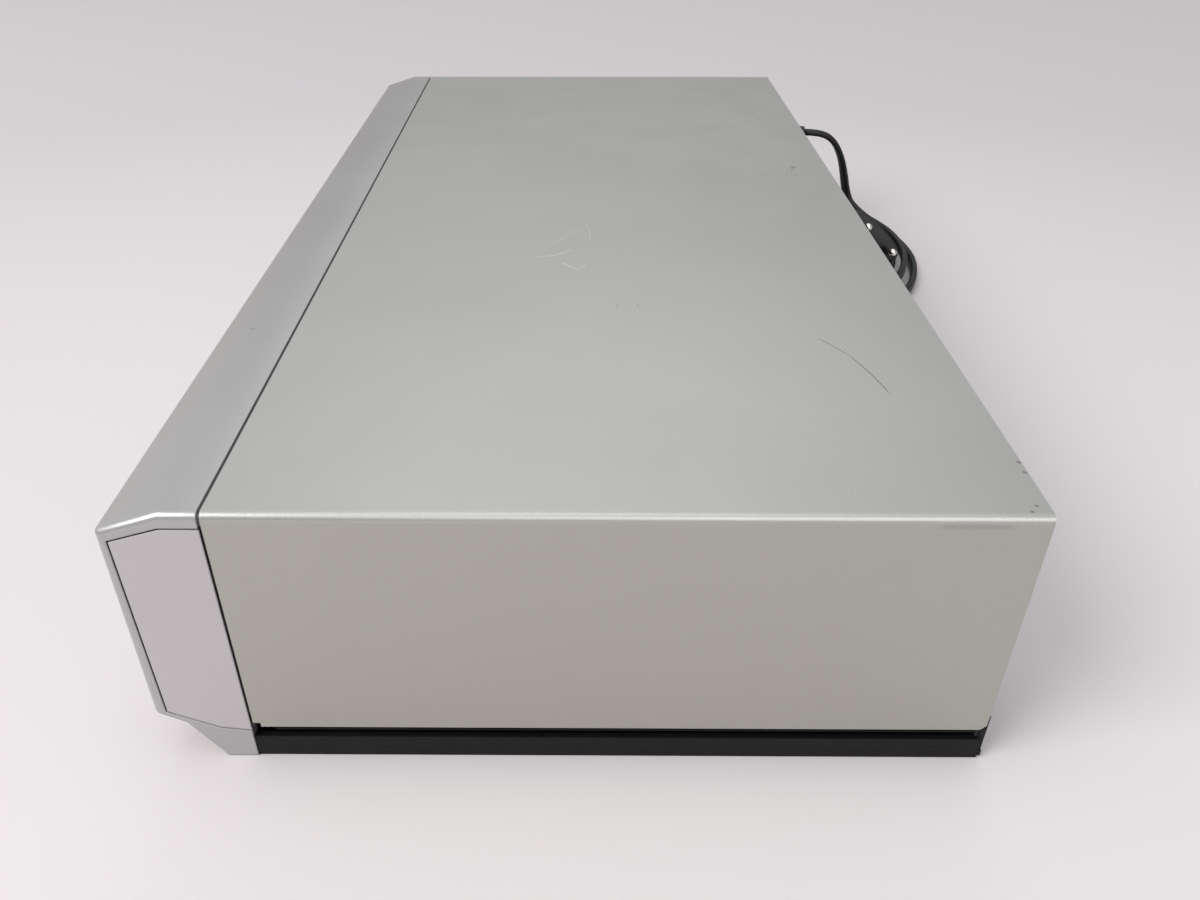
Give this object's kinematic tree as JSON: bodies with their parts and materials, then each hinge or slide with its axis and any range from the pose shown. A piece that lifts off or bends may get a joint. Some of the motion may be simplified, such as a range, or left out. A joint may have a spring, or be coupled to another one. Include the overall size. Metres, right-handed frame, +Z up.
{
  "type": "video cassette recorder",
  "caption": "Table-top video cassette recorder: a low silver housing with a faceted front, cassette door, keys, a working tape deck and a mains lead.",
  "frame": {"origin": "on the table, under the middle of the recorder's own box, cord left out", "axes": "+X to the recorder's right seen from its front, -Y to the front, +Z up"},
  "size_m": [0.43, 0.3081, 0.085],
  "materials": {
    "silver_plastic": "satin silver moulding",
    "cap_plastic": "satin silver moulding",
    "cover_steel": "silver-grey painted steel",
    "black_plastic": "fine-grained black moulding",
    "smoked_window": "polished smoked plastic",
    "key_silver": "satin silver keys",
    "bright_steel": "plated steel sheet",
    "screw_steel": "blackened screws",
    "board_green": "printed circuit board",
    "socket_metal": "nickel plate",
    "drum_aluminium": "turned aluminium",
    "white_nylon": "natural nylon",
    "rubber_black": "black rubber",
    "cord_pvc": "black flexible pvc",
    "pin_metal": "nickel-plated brass"
  },
  "bodies": {
    "housing": {"chassis_tray": "black_plastic", "feet": "rubber_black", "top_cover": "cover_steel", "cover_screws": "screw_steel", "rear_panel": "black_plastic", "front_bezel": "silver_plastic", "end_cap_left": "cap_plastic", "end_cap_right": "cap_plastic", "display_window": "smoked_window", "front_av_sockets": "black_plastic", "control_board": "board_green", "key_board": "board_green", "main_board": "board_green", "power_board": "board_green", "power_transformer": "bright_steel", "tuner_can": "bright_steel", "aerial_sockets": "socket_metal", "jack_board": "board_green", "scart_sockets": "black_plastic", "audio_sockets": "black_plastic", "cord_gland": "black_plastic", "deck_plate": "bright_steel", "carriage_frame": "bright_steel", "lower_drum": "drum_aluminium", "drive_belt": "rubber_black", "loading_motor": "bright_steel", "erase_head": "bright_steel", "control_head": "bright_steel", "mains_cord_lead": "cord_pvc", "mains_cord_hank": "cord_pvc", "mains_cord_tail": "cord_pvc", "mains_plug": "cord_pvc", "plug_pins": "pin_metal", "cord_tie": "rubber_black"},
    "door": {"cassette_door": "silver_plastic"},
    "flap": {"av_flap": "silver_plastic"},
    "slider": {"carriage_slider": "bright_steel"},
    "holder": {"cassette_holder": "bright_steel"},
    "drum": {"upper_drum": "drum_aluminium"},
    "capstan": {"capstan_rotor": "bright_steel"},
    "clutch": {"clutch_pulley": "white_nylon"},
    "supply_hub": {"supply_reel": "white_nylon"},
    "takeup_hub": {"takeup_reel": "white_nylon"},
    "timing": {"timing_shaft": "white_nylon"},
    "pinch_lever": {"pinch_arm": "bright_steel"},
    "roller": {"pinch_roller": "rubber_black"},
    "cam": {"cam_gear": "white_nylon"},
    "pinion": {"loading_pinion": "white_nylon"},
    "supply_carriage": {"supply_guide": "bright_steel"},
    "takeup_carriage": {"takeup_guide": "bright_steel"},
    "tension_lever": {"tension_arm": "bright_steel"},
    "power_key": {"power_button": "key_silver"},
    "eject_key": {"eject_button": "key_silver"},
    "rewind_key": {"rewind_button": "key_silver"},
    "play_key": {"play_button": "key_silver"},
    "fast_forward_key": {"fast_forward_button": "key_silver"},
    "stop_key": {"stop_button": "key_silver"},
    "record_key": {"record_button": "key_silver"},
    "channel_down_key": {"channel_down_button": "key_silver"},
    "channel_up_key": {"channel_up_button": "key_silver"}
  },
  "joints": [
    {"name": "door_swing", "type": "hinge", "parent": "housing", "child": "door", "pos_m": [-0.045, -0.11325, 0.077], "axis": [1, 0, 0], "range_deg": [0, 90], "stiffness_Nm_per_rad": 0.004, "springref_deg": -20.05},
    {"name": "flap_swing", "type": "hinge", "parent": "housing", "child": "flap", "pos_m": [-0.105, -0.11605, 0.02375], "axis": [1, 0, 0], "range_deg": [0, 90]},
    {"name": "power_press", "type": "slide", "parent": "housing", "child": "power_key", "axis": [0, 1, 0], "range_m": [0, 0.0008], "stiffness_N_per_m": 900, "springref_m": -0.0006},
    {"name": "eject_press", "type": "slide", "parent": "housing", "child": "eject_key", "axis": [0, 1, 0], "range_m": [0, 0.0008], "stiffness_N_per_m": 900, "springref_m": -0.0006},
    {"name": "rewind_press", "type": "slide", "parent": "housing", "child": "rewind_key", "axis": [0, 1, 0], "range_m": [0, 0.0008], "stiffness_N_per_m": 900, "springref_m": -0.0006},
    {"name": "play_press", "type": "slide", "parent": "housing", "child": "play_key", "axis": [0, 1, 0], "range_m": [0, 0.0008], "stiffness_N_per_m": 900, "springref_m": -0.0006},
    {"name": "fast_forward_press", "type": "slide", "parent": "housing", "child": "fast_forward_key", "axis": [0, 1, 0], "range_m": [0, 0.0008], "stiffness_N_per_m": 900, "springref_m": -0.0006},
    {"name": "stop_press", "type": "slide", "parent": "housing", "child": "stop_key", "axis": [0, 1, 0], "range_m": [0, 0.0008], "stiffness_N_per_m": 900, "springref_m": -0.0006},
    {"name": "record_press", "type": "slide", "parent": "housing", "child": "record_key", "axis": [0, 1, 0], "range_m": [0, 0.0008], "stiffness_N_per_m": 900, "springref_m": -0.0006},
    {"name": "channel_down_press", "type": "slide", "parent": "housing", "child": "channel_down_key", "axis": [0, 1, 0], "range_m": [0, 0.0008], "stiffness_N_per_m": 900, "springref_m": -0.0006},
    {"name": "channel_up_press", "type": "slide", "parent": "housing", "child": "channel_up_key", "axis": [0, 1, 0], "range_m": [0, 0.0008], "stiffness_N_per_m": 900, "springref_m": -0.0006},
    {"name": "slider_travel", "type": "slide", "parent": "housing", "child": "slider", "axis": [0, -1, 0], "range_m": [0, 0.05]},
    {"name": "holder_lift", "type": "slide", "parent": "slider", "child": "holder", "axis": [0, 0, 1], "range_m": [-0.02, 0]},
    {"name": "timing_turn", "type": "hinge", "parent": "housing", "child": "timing", "pos_m": [-0.045, -0.05775, 0.07492], "axis": [-1, 0, 0], "range_deg": [0, 511.57]},
    {"name": "drum_spin", "type": "hinge", "parent": "housing", "child": "drum", "pos_m": [-0.045, 0.05425, 0.0312], "axis": [0, -0.0872, 0.9962], "continuous": true},
    {"name": "capstan_spin", "type": "hinge", "parent": "housing", "child": "capstan", "pos_m": [0.005, 0.01625, 0.02], "axis": [0, 0, 1], "continuous": true},
    {"name": "clutch_spin", "type": "hinge", "parent": "housing", "child": "clutch", "pos_m": [-0.045, -0.01975, 0.02], "axis": [0, 0, 1], "continuous": true},
    {"name": "supply_spin", "type": "hinge", "parent": "housing", "child": "supply_hub", "pos_m": [-0.091, -0.03975, 0.026], "axis": [0, 0, 1], "continuous": true},
    {"name": "takeup_spin", "type": "hinge", "parent": "housing", "child": "takeup_hub", "pos_m": [0.001, -0.03975, 0.026], "axis": [0, 0, 1], "continuous": true},
    {"name": "pinch_swing", "type": "hinge", "parent": "housing", "child": "pinch_lever", "pos_m": [0.035, 0.03225, 0.026], "axis": [0, 0, 1], "range_deg": [0, 25]},
    {"name": "roller_spin", "type": "hinge", "parent": "pinch_lever", "child": "roller", "pos_m": [0.00509, 0.03872, 0.036], "axis": [0, 0, 1], "continuous": true},
    {"name": "cam_turn", "type": "hinge", "parent": "housing", "child": "cam", "pos_m": [-0.119, 0.04025, 0.027], "axis": [0, 0, 1], "range_deg": [0, 150]},
    {"name": "pinion_turn", "type": "hinge", "parent": "housing", "child": "pinion", "pos_m": [-0.119, 0.06437, 0.027], "axis": [0, 0, 1], "range_deg": [-600, 0]},
    {"name": "supply_guide_travel", "type": "slide", "parent": "housing", "child": "supply_carriage", "axis": [-0.1991, 0.98, 0], "range_m": [0, 0.06531]},
    {"name": "takeup_guide_travel", "type": "slide", "parent": "housing", "child": "takeup_carriage", "axis": [0.1991, 0.98, 0], "range_m": [0, 0.06531]},
    {"name": "tension_swing", "type": "hinge", "parent": "housing", "child": "tension_lever", "pos_m": [-0.107, -0.00775, 0.026], "axis": [0, 0, 1], "range_deg": [0, 20], "stiffness_Nm_per_rad": 0.02, "springref_deg": -11.46}
  ],
  "couplings": [
    {"joint": "timing_turn", "follows": "slider_travel", "rad_per_m": 178.57},
    {"joint": "pinion_turn", "follows": "cam_turn", "ratio": -4},
    {"joint": "supply_guide_travel", "follows": "cam_turn", "m_per_rad": 0.024945},
    {"joint": "takeup_guide_travel", "follows": "cam_turn", "m_per_rad": 0.024945},
    {"joint": "clutch_spin", "follows": "capstan_spin", "ratio": 0.5}
  ]
}
